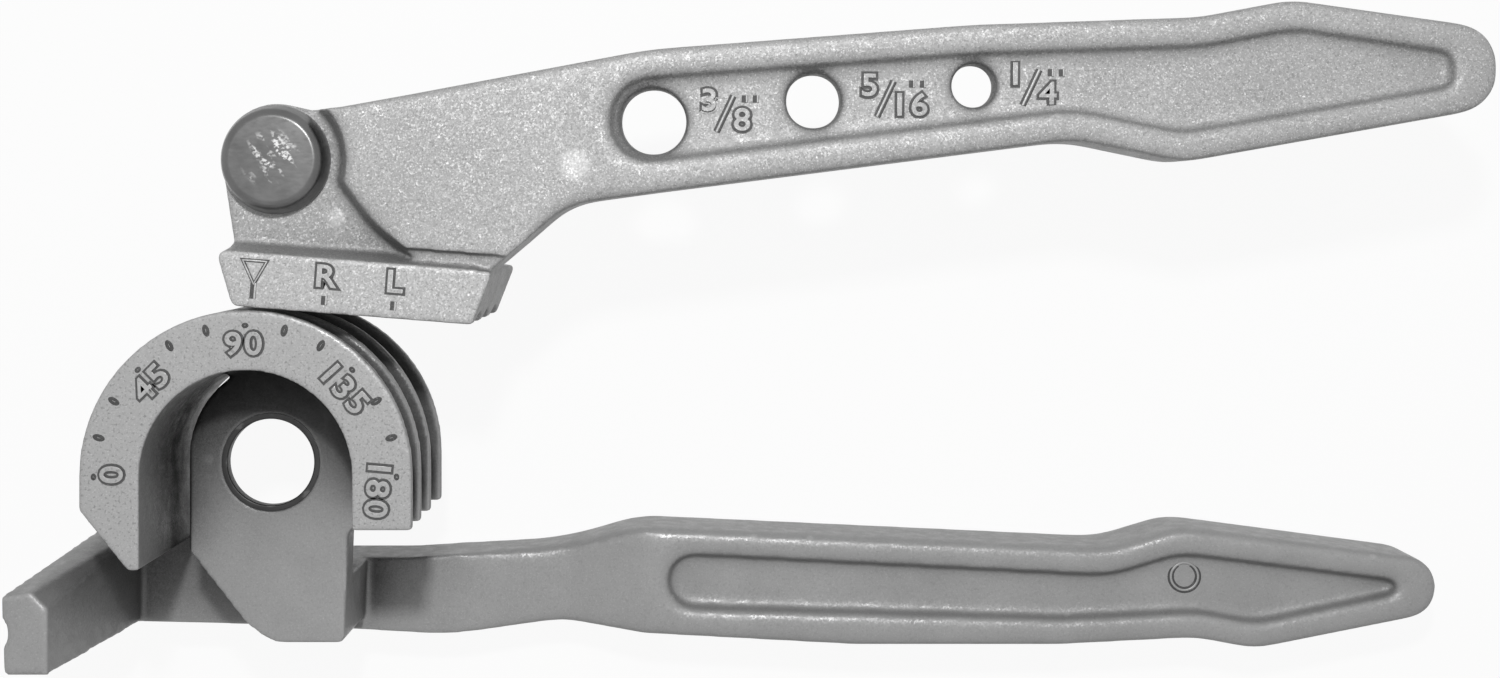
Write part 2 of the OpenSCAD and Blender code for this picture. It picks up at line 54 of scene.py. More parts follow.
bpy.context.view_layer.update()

# Height of the shoe's face over the mandrel's face
SHOE_PROUD_MM = 0.4
# Depth of the panel sunk into each grip
PANEL_MM = 2.2
# Pointiness of a blunt edge and of a sharp one, between which edges are lightened as wear and as a painted
# highlight
EDGE = (0.52, 0.6)
# Open share of the sky over a deep hollow and over a free face, between which the painted shade of hollows
# fades out
SKY = (0.48, 0.9)


class Body(Enum):
    """Moving bodies of the tool, by their names in the frame."""

    MANDREL = "mandrel"
    LINK = "link"
    SHOE = "shoe"


class Slot(Enum):
    """Material slots of the record."""

    CAST_MANDREL = "cast_mandrel"
    CAST_SHOE = "cast_shoe"
    BOLT_STEEL = "bolt_steel"
    LINK_STEEL = "link_steel"
    DARK_STEEL = "dark_steel"


# Camera

@dataclass(frozen=True)
class PhotoView:
    """Camera of the photograph, in pixels of its 1500 by 678 frame and in millimetres."""

    width_px: float = 1500.0
    height_px: float = 678.0
    axis_px: tuple[float, float] = (725.0, 202.0)
    arch_px: tuple[float, float] = (245.0, 477.0)
    px_per_mm: float = 6.92
    distance_mm: float = 288.6
    sensor_mm: float = 36.0
    clip_mm: tuple[float, float] = (10.0, 10000.0)

    def build(self, front_z: float) -> bpy.types.Object:
        """Makes the camera straight over the marked face.

        Args:
            front_z: height of the mandrel's front face, in metres.

        Returns:
            The camera, set as the scene's own.
        """
        data = bpy.data.cameras.new("photo_camera")
        data.sensor_width = self.sensor_mm
        data.lens = self.sensor_mm * self.px_per_mm * self.distance_mm / self.width_px
        data.shift_x = (self.width_px / 2 - self.axis_px[0]) / self.width_px
        data.shift_y = -(self.height_px / 2 - self.axis_px[1]) / self.width_px
        data.clip_start, data.clip_end = (edge * MM for edge in self.clip_mm)
        camera = linked_object(data, "photo_camera")
        across = (self.axis_px[0] - self.arch_px[0]) / self.px_per_mm * MM
        up = (self.arch_px[1] - self.axis_px[1]) / self.px_per_mm * MM
        camera.location = (across, up, front_z + self.distance_mm * MM)
        bpy.context.scene.camera = camera
        return camera


# Finishes

class Shader:
    """Small helper that builds one node material."""

    def __init__(self, name: str) -> None:
        """Starts an empty node material.

        Args:
            name: name of the material.
        """
        self.material = bpy.data.materials.new(name)
        self.material.use_nodes = True
        self.tree = self.material.node_tree
        self.tree.nodes.clear()
        self.surface = self.tree.nodes.new("ShaderNodeBsdfPrincipled")
        output = self.tree.nodes.new("ShaderNodeOutputMaterial")
        self.tree.links.new(self.surface.outputs["BSDF"], output.inputs["Surface"])
        self.place = self.tree.nodes.new("ShaderNodeTexCoord").outputs["Object"]

    def node(self, kind: str, **values: object) -> bpy.types.Node:
        """Adds a node and sets its properties.

        Args:
            kind: the node's type name, without the ShaderNode prefix.
            **values: properties of the node.

        Returns:
            The new node.
        """
        made = self.tree.nodes.new("ShaderNode" + kind)
        for key, value in values.items():
            setattr(made, key, value)
        return made

    def link(self, source: bpy.types.NodeSocket, target: bpy.types.NodeSocket) -> None:
        """Joins two sockets."""
        self.tree.links.new(source, target)

    def noise(self, size_mm: float, detail: float = 2.0, stretch: tuple[float, float, float] = (1, 1, 1),
              turn_deg: float = 0.0) -> bpy.types.NodeSocket:
        """Noise with grains of about one size.

        Args:
            size_mm: size of one grain, in millimetres.
            detail: octaves of finer grain.
            stretch: scale of the pattern along each axis.
            turn_deg: turn of the pattern round Z.

        Returns:
            The noise value, from 0 to 1.
        """
        mapping = self.node("Mapping")
        mapping.vector_type = "TEXTURE"
        mapping.inputs["Scale"].default_value = [1 / share for share in stretch]
        mapping.inputs["Rotation"].default_value = (0.0, 0.0, math.radians(turn_deg))
        self.link(self.place, mapping.inputs["Vector"])
        noise = self.node("TexNoise")
        noise.inputs["Scale"].default_value = 1 / (size_mm * MM)
        noise.inputs["Detail"].default_value = detail
        self.link(mapping.outputs["Vector"], noise.inputs["Vector"])
        return noise.outputs["Fac"]

    def axis(self, name: str) -> bpy.types.NodeSocket:
        """One of the object's own coordinates.

        Args:
            name: X, Y or Z.

        Returns:
            The coordinate, in metres.
        """
        parts = self.node("SeparateXYZ")
        self.link(self.place, parts.inputs[0])
        return parts.outputs[name]

    def ramp(self, value: bpy.types.NodeSocket, low: float, high: float,
             out: tuple[float, float] = (0.0, 1.0)) -> bpy.types.NodeSocket:
        """Maps a value from one range to another, held at the ends.

        Args:
            value: the value to map.
            low: value that gives the first end.
            high: value that gives the last end.
            out: the two ends.

        Returns:
            The mapped value.
        """
        made = self.node("MapRange")
        made.inputs["From Min"].default_value = low
        made.inputs["From Max"].default_value = high
        made.inputs["To Min"].default_value = out[0]
        made.inputs["To Max"].default_value = out[1]
        self.link(value, made.inputs["Value"])
        return made.outputs["Result"]

    def times(self, first: bpy.types.NodeSocket, second: bpy.types.NodeSocket) -> bpy.types.NodeSocket:
        """Product of two values.

        Args:
            first: one value.
            second: the other value.

        Returns:
            The product.
        """
        made = self.node("Math", operation="MULTIPLY")
        self.link(first, made.inputs[0])
        self.link(second, made.inputs[1])
        return made.outputs[0]

    def away(self, x: float, y: float) -> bpy.types.NodeSocket:
        """Distance from a line along Z.

        Args:
            x: the line's place across, in metres.
            y: the line's place along, in metres.

        Returns:
            The distance, in metres.
        """
        shifted = self.node("Mapping")
        shifted.inputs["Location"].default_value = (-x, -y, 0.0)
        shifted.inputs["Scale"].default_value = (1.0, 1.0, 0.0)
        self.link(self.place, shifted.inputs["Vector"])
        span = self.node("VectorMath", operation="LENGTH")
        self.link(shifted.outputs["Vector"], span.inputs[0])
        return span.outputs["Value"]

    def mix(self, amount: bpy.types.NodeSocket, first: bpy.types.NodeSocket | float,
            second: bpy.types.NodeSocket | float) -> bpy.types.NodeSocket:
        """Mixes two colours, each a socket or a grey level.

        Args:
            amount: share of the second colour.
            first: colour at 0.
            second: colour at 1.

        Returns:
            The mixed colour.
        """
        made = self.node("Mix", data_type="RGBA")
        self.link(amount, made.inputs["Factor"])
        for socket, colour in ((made.inputs[6], first), (made.inputs[7], second)):
            if isinstance(colour, float):
                socket.default_value = (colour, colour, colour, 1.0)
            else:
                self.link(colour, socket)
        return made.outputs[2]


@dataclass(frozen=True)
class CastFinish:
    """Cast aluminium: grained skin with painted glints on small facets, edges lightened as wear and as a
    painted highlight, painted shade on walls and in hollows, and less gloss in hollows.

    The front face, from its own height up, can be more grained than the rest, and brighter as painted light.
    Spots are the smooth marks that ejector pins leave, as x, y and radius in millimetres, lightened as a
    painted sheen.
    Hollows far from the mandrel's axis keep only a share of the painted shade, far_hollow_shade.
    """

    name: str
    grey: float
    dark: float
    bright: float
    facet_mm: float
    facet_tilt: float
    roughness: tuple[float, float]
    face_z: float = 1.0
    face_light_gain: float = 1.0
    face_fade_mm: float = 0.4
    wall: float = 1.0
    metallic: float = 0.2
    rim_tint: float = 0.35
    hollow_mm: float = 24.0
    hollow_shade: float = 0.97
    far_hollow_shade: float = 1.0
    hollow_fade_mm: tuple[float, float] = (20.0, 34.0)
    gloss: float = 0.3
    grain: float = 1.0
    spots: tuple[tuple[float, float, float], ...] = ()

    def build(self) -> bpy.types.Material:
        """Builds the node material.

        Returns:
            The material.
        """
        shader = Shader(self.name)
        cover = shader.node("AmbientOcclusion", samples=8, only_local=True)
        cover.inputs["Distance"].default_value = self.hollow_mm * MM
        sky = cover.outputs["AO"]
        surface = shader.surface.inputs
        shader.link(self.shaded(shader, self.grained(shader), sky), surface["Base Color"])
        gloss = shader.ramp(sky, *SKY, (self.gloss * (1.0 - self.hollow_shade), self.gloss))
        shader.link(gloss, surface["Specular IOR Level"])
        shader.link(shader.ramp(shader.noise(2.0), 0.35, 0.65, self.roughness), surface["Roughness"])
        shader.link(self.facets(shader), surface["Normal"])
        surface["Metallic"].default_value = self.metallic
        surface["Specular Tint"].default_value = (self.rim_tint, self.rim_tint, self.rim_tint, 1.0)
        return shader.material

    def grained(self, shader: Shader) -> bpy.types.NodeSocket:
        """Grey of the cast skin: clouds, the front face brighter as painted light, dark pits, painted glints
        on facets and ejector spots lightened as a painted sheen.

        Args:
            shader: the material being built.

        Returns:
            The colour.
        """
        height = shader.axis("Z")
        face_from, face_to = self.face_z - self.face_fade_mm * MM, self.face_z - self.face_fade_mm * MM / 4
        clouds = shader.ramp(shader.noise(9.0, 3.0), 0.3, 0.7)
        tone = shader.mix(clouds, self.grey * 0.95, self.grey * 1.05)
        # Painted light: the front face, from face_z up, is brighter than the rest.
        tone = shader.mix(shader.ramp(height, face_from, face_to), tone, self.grey * self.face_light_gain)
        grain = shader.ramp(height, face_from, face_to, (self.grain, 1.0))
        pits = shader.ramp(shader.noise(self.facet_mm * 1.7, 1.0), 0.3, 0.42, (0.6, 0.0))
        tone = shader.mix(shader.times(pits, grain), tone, self.dark)
        # Painted glints: single grains lightened where light would catch them.
        painted_glints = shader.ramp(shader.noise(self.facet_mm, 1.0), 0.6, 0.72, (0.0, 0.75))
        tone = shader.mix(shader.times(painted_glints, grain), tone, self.bright)
        # Ejector spots: real smooth marks, lightened as a painted sheen.
        for x, y, radius in self.spots:
            near = shader.ramp(shader.away(x * MM, y * MM), radius * 0.5 * MM, radius * MM, (0.55, 0.0))
            tone = shader.mix(near, tone, self.bright)
        return tone

    def shaded(self, shader: Shader, tone: bpy.types.NodeSocket,
               sky: bpy.types.NodeSocket) -> bpy.types.NodeSocket:
        """Lightens edges as wear and as a painted highlight, and paints shade on walls and in hollows.

        Args:
            shader: the material being built.
            tone: colour of the skin.
            sky: open share of the sky over each point.

        Returns:
            The shaded colour.
        """
        skin = shader.node("NewGeometry")
        # Edges lightened, partly as wear and partly as a painted highlight.
        edges = shader.ramp(skin.outputs["Pointiness"], *EDGE, (0.0, 0.3))
        tone = shader.mix(edges, tone, self.bright)
        slope = shader.node("SeparateXYZ")
        shader.link(skin.outputs["Normal"], slope.inputs[0])
        # Painted shade: faces that turn from upwards towards the side are darker.
        walls = shader.ramp(slope.outputs["Z"], 0.45, 0.9, (1.0 - self.wall, 0.0))
        tone = shader.mix(walls, tone, self.dark * 0.2)
        # Painted shade in hollows, full near the mandrel's axis and fading to far_hollow_shade further out.
        depth = shader.ramp(sky, *SKY, (self.hollow_shade, 0.0))
        near, far = self.hollow_fade_mm
        reach = shader.ramp(shader.away(0.0, 0.0), near * MM, far * MM, (1.0, self.far_hollow_shade))
        return shader.mix(shader.times(depth, reach), tone, self.dark * 0.12)

    def facets(self, shader: Shader) -> bpy.types.NodeSocket:
        """Tilts the surface a little in each grain, so that single grains catch the light.

        Args:
            shader: the material being built.

        Returns:
            The tilted normal.
        """
        cells = shader.node("TexVoronoi")
        cells.inputs["Scale"].default_value = 1 / (self.facet_mm * MM)
        shader.link(shader.place, cells.inputs["Vector"])
        centred = shader.node("VectorMath", operation="SUBTRACT")
        centred.inputs[1].default_value = (0.5, 0.5, 0.5)
        shader.link(cells.outputs["Color"], centred.inputs[0])
        tilt = shader.node("VectorMath", operation="SCALE")
        tilt.inputs["Scale"].default_value = self.facet_tilt
        shader.link(centred.outputs["Vector"], tilt.inputs[0])
        bump = shader.node("Bump")
        bump.inputs["Strength"].default_value = 0.25
        bump.inputs["Distance"].default_value = 0.15 * MM
        shader.link(shader.noise(0.9, 4.0), bump.inputs["Height"])
        total = shader.node("VectorMath", operation="ADD")
        shader.link(bump.outputs["Normal"], total.inputs[0])
        shader.link(tilt.outputs["Vector"], total.inputs[1])
        unit = shader.node("VectorMath", operation="NORMALIZE")
        shader.link(total.outputs["Vector"], unit.inputs[0])
        return unit.outputs["Vector"]


@dataclass(frozen=True)
class SteelFinish:
    """Turned steel with cloudy tone, fine scratches, bright worn patches and edges lightened as wear and as a
    painted highlight.
    """

    name: str
    grey: float
    worn: float
    roughness: tuple[float, float]
    wear: float
    centre: Vector | None = None
    reach_mm: float = 1.0
    scuff_turn_deg: float = -48.0

    def build(self) -> bpy.types.Material:
        """Builds the node material.

        Returns:
            The material.
        """
        shader = Shader(self.name)
        cloud = shader.ramp(shader.noise(5.0, 4.0), 0.3, 0.7)
        tone = shader.mix(cloud, self.grey * 0.82, self.grey * 1.12)
        fine = shader.ramp(shader.noise(0.6, 6.0, (1.0, 1.4, 1.0)), 0.46, 0.56, (0.0, self.wear))
        streaks = shader.ramp(shader.noise(2.6, 2.0, (0.45, 1.3, 1.0), self.scuff_turn_deg), 0.55, 0.62)
        patches = shader.times(shader.times(fine, streaks), self.worn_place(shader))
        worn = shader.mix(patches, tone, self.worn)
        # Edges lightened, partly as wear and partly as a painted highlight.
        edges = shader.ramp(shader.node("NewGeometry").outputs["Pointiness"], *EDGE, (0.0, 0.5))
        shader.link(shader.mix(edges, worn, self.worn), shader.surface.inputs["Base Color"])
        scratches = shader.noise(0.5, 3.0, (0.4, 1.0, 1.0))
        shader.link(shader.ramp(scratches, 0.3, 0.7, self.roughness), shader.surface.inputs["Roughness"])
        bump = shader.node("Bump")
        bump.inputs["Strength"].default_value = 0.12
        bump.inputs["Distance"].default_value = 0.05 * MM
        shader.link(scratches, bump.inputs["Height"])
        shader.link(bump.outputs["Normal"], shader.surface.inputs["Normal"])
        shader.surface.inputs["Metallic"].default_value = 1.0
        return shader.material

    def worn_place(self, shader: Shader) -> bpy.types.NodeSocket:
        """Value that is 1 where scuffs gather: round the centre, or in scattered spots.

        Args:
            shader: the material being built.

        Returns:
            The value, from 0 to 1.
        """
        if self.centre is None:
            return shader.ramp(shader.noise(4.5, 2.0), 0.52, 0.62)
        span = shader.away(self.centre.x, self.centre.y)
        return shader.ramp(span, self.reach_mm * 0.6 * MM, self.reach_mm * MM, (1.0, 0.0))


@dataclass
class Finishes:
    """All finishes of the tool, built once."""

    scale_z: float
    shoe_z: float
    pivot: Vector
    cast_mandrel: bpy.types.Material = field(init=False)
    cast_shoe: bpy.types.Material = field(init=False)
    mandrel_marks: bpy.types.Material = field(init=False)
    shoe_marks: bpy.types.Material = field(init=False)
    mark_shadow_line: bpy.types.Material = field(init=False)
    bolt_steel: bpy.types.Material = field(init=False)
    link_steel: bpy.types.Material = field(init=False)
    dark_steel: bpy.types.Material = field(init=False)

    def __post_init__(self) -> None:
        """Builds each material."""
        mandrel = CastFinish("cast_mandrel", grey=0.4, dark=0.23, bright=0.64, facet_mm=0.24, facet_tilt=0.14,
                             roughness=(0.32, 0.48), face_z=self.scale_z, face_light_gain=1.22, wall=0.85,
                             far_hollow_shade=0.6, grain=0.35, spots=((-9.4, 0.5, 0.9),))
        shoe = CastFinish("cast_shoe", grey=0.47, dark=0.28, bright=0.86, facet_mm=0.24, facet_tilt=0.3,
                          roughness=(0.4, 0.54), face_z=self.shoe_z, face_light_gain=1.16, wall=0.8,
                          hollow_shade=0.5, spots=((47.7, 45.1, 2.8), (12.4, 37.4, 1.6)))
        # Near-black finish of the painted shadow line round the raised marks.
        line = CastFinish("mark_shadow_line", grey=0.1, dark=0.07, bright=0.2, facet_mm=0.24, facet_tilt=0.1,
                          roughness=(0.6, 0.7))
        bolt = SteelFinish("bolt_steel", grey=0.15, worn=0.56, roughness=(0.28, 0.42), wear=1.0,
                           centre=self.pivot, reach_mm=4.6)
        plated = SteelFinish("link_steel", grey=0.42, worn=0.7, roughness=(0.28, 0.42), wear=0.3)
        # Near-black steel of the rivet: dark steel, darkened further as painted shade in the centre hole.
        dark = SteelFinish("dark_steel", grey=0.05, worn=0.16, roughness=(0.4, 0.55), wear=0.2)
        self.cast_mandrel = mandrel.build()
        self.cast_shoe = shoe.build()
        raised = {"wall": 0.0, "facet_tilt": 0.1, "spots": ()}
        self.mandrel_marks = replace(mandrel, name="mandrel_marks", **raised).build()
        self.shoe_marks = replace(shoe, name="shoe_marks", **raised).build()
        self.mark_shadow_line = line.build()
        self.bolt_steel = bolt.build()
        self.link_steel = plated.build()
        self.dark_steel = dark.build()


# Mesh helpers

def finish_piece(mesh: bpy.types.Mesh, name: str, material: bpy.types.Material,
                 body: Body) -> bpy.types.Object:
    """Makes a finished piece out of a mesh and lets it ride on a body.

    Args:
        mesh: the piece's mesh, in the frame's own place.
        name: name of the piece.
        material: its finish.
        body: the body that it moves with.

    Returns:
        The new object.
    """
    mesh.name = name
    mesh.materials.clear()
    mesh.materials.append(material)
    mesh.shade_smooth()
    piece = linked_object(mesh, name)
    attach(piece, body.value)
    LOG.info("%s: %d faces on %s", name, len(mesh.polygons), body.value)
    return piece


def evaluated_mesh(obj: bpy.types.Object) -> bpy.types.Mesh:
    """Turns an object with its modifiers into a plain mesh and removes the object.

    Args:
        obj: the object.

    Returns:
        The plain mesh.
    """
    graph = bpy.context.evaluated_depsgraph_get()
    mesh = bpy.data.meshes.new_from_object(obj.evaluated_get(graph))
    bpy.data.objects.remove(obj)
    return mesh


def linked_object(data: bpy.types.ID, name: str) -> bpy.types.Object:
    """Makes an object and links it to the scene.

    Args:
        data: the mesh, curve, lamp or camera that it holds.
        name: name of the object.

    Returns:
        The new object.
    """
    obj = bpy.data.objects.new(name, data)
    bpy.context.scene.collection.objects.link(obj)
    return obj


def held(value: float) -> float:
    """Keeps a value between 0 and 1."""
    return min(max(value, 0.0), 1.0)


def merged_copy(node: str, merge_mm: float = 0.0005) -> bpy.types.Mesh:
    """Copies a CAD node's mesh and merges its loose corners.

    Args:
        node: name of the CAD node.
        merge_mm: distance within which corners are one.

    Returns:
        A closed mesh in the same place.
    """
    mesh = frame["nodes"][node].data.copy()
    work = bmesh.new()
    work.from_mesh(mesh)
    bmesh.ops.remove_doubles(work, verts=work.verts, dist=merge_mm * MM)
    work.to_mesh(mesh)
    work.free()
    return mesh


def joined(meshes: list[bpy.types.Mesh]) -> bpy.types.Mesh:
    """Joins several meshes into one and removes them.

    Args:
        meshes: the meshes to join.

    Returns:
        The whole mesh.
    """
    work = bmesh.new()
    for mesh in meshes:
        work.from_mesh(mesh)
        bpy.data.meshes.remove(mesh)
    whole = bpy.data.meshes.new("joined")
    work.to_mesh(whole)
    work.free()
    return whole


def turned(profile: list[tuple[float, float]], centre: Vector, name: str, steps: int = 96,
           merge_mm: float = 0.001) -> bpy.types.Mesh:
    """Turns a profile round a vertical axis into a closed mesh.

    Args:
        profile: radius and height of each point, in metres.
        centre: a point on the axis.
        name: name of the mesh.
        steps: number of faces round the axis.
        merge_mm: distance within which corners are one.

    Returns:
        The turned mesh, with its faces outwards.
    """
    work = bmesh.new()
    verts = [work.verts.new((centre.x + r, centre.y, z)) for r, z in profile]
    edges = [work.edges.new((a, b)) for a, b in zip(verts, verts[1:])]
    bmesh.ops.spin(work, geom=verts + edges, cent=centre, axis=(0, 0, 1), angle=2 * math.pi, steps=steps,
                   use_merge=True)
    bmesh.ops.remove_doubles(work, verts=work.verts, dist=merge_mm * MM)
    bmesh.ops.recalc_face_normals(work, faces=work.faces)
    mesh = bpy.data.meshes.new(name)
    work.to_mesh(mesh)
    work.free()
    return mesh


def rounded_profile(points: list[tuple[float, float, float]], steps: int = 5) -> list[tuple[float, float]]:
    """Rounds the corners of an open profile.

    Args:
        points: radius, height and rounding of each point.
        steps: number of segments in a rounding.

    Returns:
        The points of the rounded profile.
    """
    out: list[tuple[float, float]] = []
    for index, (r, z, bend) in enumerate(points):
        here = Vector((r, z))
        if bend <= 0 or index in (0, len(points) - 1):
            out.append((r, z))
            continue
        before = Vector(points[index - 1][:2])
        after = Vector(points[index + 1][:2])
        start = here + (before - here).normalized() * min(bend, (before - here).length / 2)
        end = here + (after - here).normalized() * min(bend, (after - here).length / 2)
        for step in range(steps + 1):
            t = step / steps
            point = start.lerp(here, t).lerp(here.lerp(end, t), t)
            out.append((point.x, point.y))
    return out


# Raised marks

@dataclass(frozen=True)
class MarkStyle:
    """Raised cast lettering, or the flat dark line round it that paints its shadow: stroke and height over
    the face.
    """

    stroke_mm: float = 0.04
    rise_mm: float = 0.2
    bevel_mm: float = 0.1
    sink_mm: float = 0.05
    widen: float = 1.12
    em_share: float = 1.38
    spacing: float = 1.12
    bead_more_mm: float = 0.0
    bead_flat: float = 0.8
    tick_mm: float = 0.14
    tick_length_mm: float = 1.3
    dash_mm: float = 0.36
    # Shift across a dash, which sets its painted shadow line beside its raised part.
    dash_shift_mm: float = 0.25

    def text(self, words: str, height_mm: float, place: Matrix) -> bpy.types.Mesh:
        """Raised letters.

        Args:
            words: the letters.
            height_mm: height of a figure.
            place: where the middle of the words goes.

        Returns:
            The letters' mesh.
        """
        curve = bpy.data.curves.new("letters", "FONT")
        curve.body = words
        curve.align_x = "CENTER"
        curve.align_y = "CENTER"
        curve.size = height_mm * self.em_share * MM
        curve.offset = self.stroke_mm * MM / 2
        curve.space_character = self.spacing
        curve.extrude = self.rise_mm * MM / 2
        curve.bevel_depth = self.bevel_mm * MM
        curve.bevel_resolution = 2
        curve.resolution_u = 4
        mesh = evaluated_mesh(linked_object(curve, "letters"))
        mesh.transform(place @ Matrix.Translation((0, 0, (self.rise_mm / 2 - self.sink_mm) * MM))
                       @ Matrix.Diagonal((self.widen, 1, 1, 1)))
        return mesh

    def bead(self, points: list[tuple[float, float]], width_mm: float, place: Matrix,
             closed: bool = False) -> bpy.types.Mesh:
        """Raised half-round bead along a line.

        Args:
            points: the line's points on the face, in millimetres.
            width_mm: width of the bead.
            place: where the face's own origin goes.
            closed: whether the line goes back to its start.

        Returns:
            The bead's mesh.
        """
        curve = bpy.data.curves.new("bead", "CURVE")
        curve.dimensions = "3D"
        curve.bevel_depth = (width_mm + self.bead_more_mm) / 2 * MM
        curve.bevel_resolution = 3
        curve.use_fill_caps = True
        spline = curve.splines.new("POLY")
        spline.points.add(len(points) - 1)
        spline.use_cyclic_u = closed
        for target, (x, y) in zip(spline.points, points):
            target.co = (x * MM, y * MM, 0, 1)
        mesh = evaluated_mesh(linked_object(curve, "bead"))
        mesh.transform(place @ Matrix.Diagonal((1, 1, self.bead_flat, 1)))
        return mesh

    def dash(self, x: float, low: float, high: float, place: Matrix) -> bpy.types.Mesh:
        """Short upright dash, its raised part beside its dark line, a painted shadow."""
        across = x + self.dash_shift_mm
        return self.bead([(across, low), (across, high)], self.dash_mm, place)

    def ring(self, radius_mm: float, width_mm: float, place: Matrix, steps: int = 40) -> bpy.types.Mesh:
        """Raised bead round a circle, as an ejector leaves it.

        Args:
            radius_mm: radius of the bead's middle.
            width_mm: width of the bead.
            place: where the circle's centre goes.
            steps: number of segments.

        Returns:
            The ring's mesh.
        """
        turn = 2 * math.pi / steps
        points = [(radius_mm * math.cos(i * turn), radius_mm * math.sin(i * turn)) for i in range(steps)]
        return self.bead(points, width_mm, place, closed=True)


RAISED = MarkStyle()
# Flat dark line round each raised mark, a painted shadow.
SHADOW_OUTLINE = MarkStyle(stroke_mm=0.84, rise_mm=0.1, bevel_mm=0.0, bead_more_mm=0.54, bead_flat=0.1, tick_mm=0.5,
                    dash_mm=0.2, dash_shift_mm=-0.1)


def on_face(x: float, y: float, z: float, turn_deg: float = 0.0) -> Matrix:
    """Place on a face that looks along +Z.

    Args:
        x: place across, in metres.
        y: place along, in metres.
        z: height of the face, in metres.
        turn_deg: turn of the mark, in degrees.

    Returns:
        The place as a matrix.
    """
    return Matrix.Translation((x, y, z)) @ Matrix.Rotation(math.radians(turn_deg), 4, "Z")


class NodeTree:
    """Small helper that builds one geometry node tree."""

    def __init__(self, name: str) -> None:
        """Starts an empty tree with a geometry output.

        Args:
            name: name of the tree.
        """
        self.tree = bpy.data.node_groups.new(name, "GeometryNodeTree")
        self.tree.interface.new_socket("Geometry", in_out="OUTPUT", socket_type="NodeSocketGeometry")
        self.entry = self.tree.nodes.new("NodeGroupInput")
        self.exit = self.tree.nodes.new("NodeGroupOutput")

    def size(self, name: str, kind: str = "NodeSocketFloat") -> str:
        """Adds a named input and returns its identifier."""
        return self.tree.interface.new_socket(name, in_out="INPUT", socket_type=kind).identifier

    def node(self, kind: str, **values: object) -> bpy.types.Node:
        """Adds a node and sets its properties.

        Args:
            kind: the node's type name.
            **values: properties of the node.

        Returns:
            The new node.
        """
        made = self.tree.nodes.new(kind)
        for key, value in values.items():
            setattr(made, key, value)
        return made

    def link(self, source: bpy.types.NodeSocket, target: bpy.types.NodeSocket) -> None:
        """Joins two sockets."""
        self.tree.links.new(source, target)

    def math(self, operation: str, first: bpy.types.NodeSocket | float,
             second: bpy.types.NodeSocket | float = 0.0) -> bpy.types.NodeSocket:
        """Works out one value from two, each a socket or a number.

        Args:
            operation: name of the operation.
            first: the first value.
            second: the second value, where the operation has one.

        Returns:
            The value.
        """
        made = self.node("ShaderNodeMath", operation=operation)
        for socket, value in zip(made.inputs, (first, second)):
            if isinstance(value, (int, float)):
                socket.default_value = value
            else:
                self.link(value, socket)
        return made.outputs[0]

    def close(self, geometry: bpy.types.NodeSocket, material: bpy.types.Material) -> None:
        """Ends the tree with real geometry in one material.

        Args:
            geometry: the geometry, instances and all.
            material: its finish.
        """
        real = self.node("GeometryNodeRealizeInstances")
        dress = self.node("GeometryNodeSetMaterial")
        dress.inputs["Material"].default_value = material
        self.link(geometry, real.inputs[0])
        self.link(real.outputs[0], dress.inputs["Geometry"])
        self.link(dress.outputs[0], self.exit.inputs[0])

    def mesh(self, values: dict[str, float]) -> bpy.types.Mesh:
        """Runs the tree on an empty mesh.

        Args:
            values: value of each input, by its identifier.

        Returns:
            The mesh that the tree makes.
        """
        holder = linked_object(bpy.data.meshes.new("holder"), "holder")
        modifier = holder.modifiers.new("make", "NODES")
        modifier.node_group = self.tree
        for identifier, value in values.items():
            modifier[identifier] = value
        return evaluated_mesh(holder)


